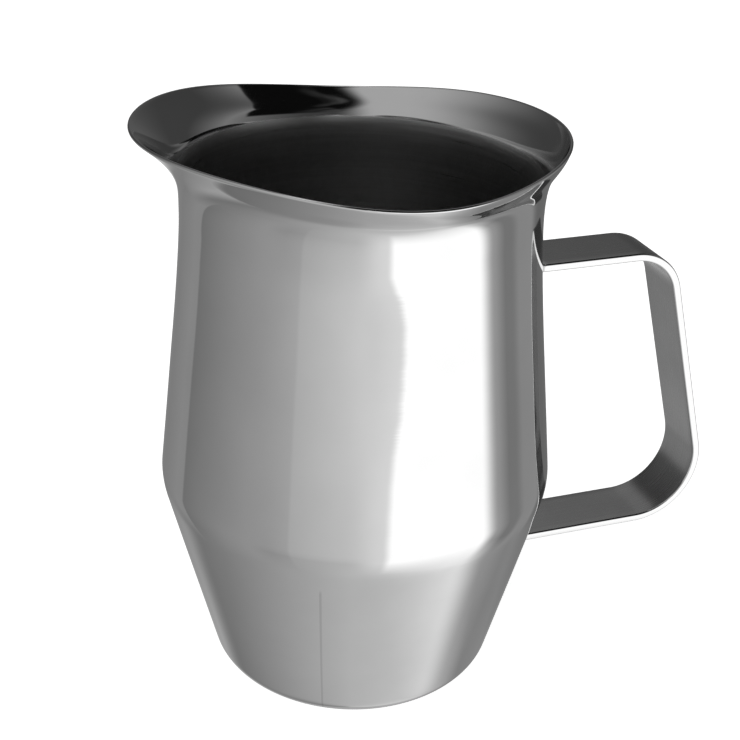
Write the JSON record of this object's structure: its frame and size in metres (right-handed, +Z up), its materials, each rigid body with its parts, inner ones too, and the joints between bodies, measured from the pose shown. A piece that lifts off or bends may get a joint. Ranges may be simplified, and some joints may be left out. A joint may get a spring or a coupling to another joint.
{
  "type": "milk frothing pitcher",
  "caption": "Polished steel milk frothing pitcher: open vessel with tapered base, rounded belly, flared rim raised into a pouring lip, and a flat bar loop handle.",
  "frame": {"origin": "on the vessel's axis, in the plane that the pitcher stands on", "axes": "+Z up along the vessel's axis, +X from the axis towards the handle, the pouring lip is at -X"},
  "size_m": [0.157, 0.1014, 0.1497],
  "materials": {
    "polished_steel": "mirror-polished stainless steel, with faint turning marks inside",
    "satin_steel": "satin stainless steel, brushed along the bar, with bright edges",
    "weld_steel": "ground and polished weld, slightly rippled"
  },
  "bodies": {
    "root": {"body_shell": "polished_steel", "handle": "satin_steel", "upper_weld": "weld_steel", "lower_weld": "weld_steel"}
  },
  "joints": []
}
